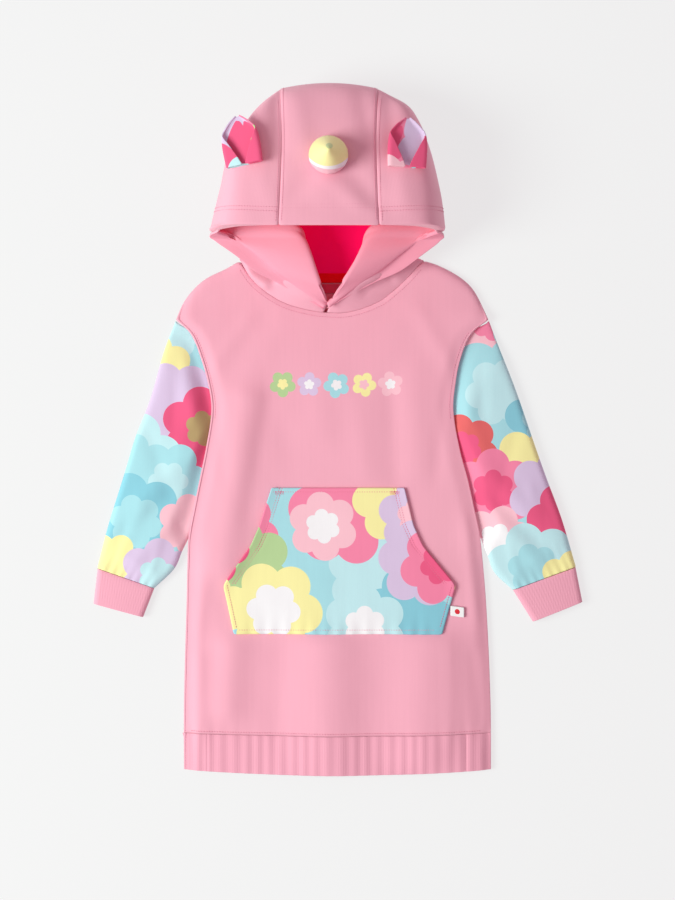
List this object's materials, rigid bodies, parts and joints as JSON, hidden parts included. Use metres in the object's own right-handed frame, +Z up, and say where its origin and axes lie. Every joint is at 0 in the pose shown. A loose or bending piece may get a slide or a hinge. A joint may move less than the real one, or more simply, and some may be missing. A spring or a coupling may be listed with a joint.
{
  "type": "child's hooded sweatshirt dress",
  "caption": "Child's hooded sweatshirt dress laid flat, with a front pocket, ribbed cuffs and hem, and a filled-out hood that has ears and a soft horn.",
  "frame": {"origin": "middle of the dress's outline, on the surface it lies on", "axes": "+X to the right as one looks down on the dress, +Y from hem to hood, +Z up off the surface"},
  "size_m": [0.537, 0.751, 0.1454],
  "materials": {
    "pink_jersey": "soft fine-knit cotton jersey",
    "pink_rib": "fine ribbed knit",
    "flower_print": "jersey printed with round-petalled flowers in pastels",
    "red_lining": "crimson jersey",
    "white_tag": "woven satin tape"
  },
  "bodies": {
    "root": {"front": "pink_jersey", "back": "pink_jersey", "hem_front": "pink_rib", "hem_back": "pink_rib", "pocket": "flower_print", "pocket_tag": "white_tag", "sleeve_left": "flower_print", "cuff_left": "pink_rib", "sleeve_right": "flower_print", "cuff_right": "pink_rib", "hood_centre": "pink_jersey", "hood_left": "pink_jersey", "hood_right": "pink_jersey", "horn": "flower_print", "ear_left": "flower_print", "ear_right": "flower_print", "neck_tape": "red_lining", "neck_label": "white_tag"}
  },
  "joints": []
}
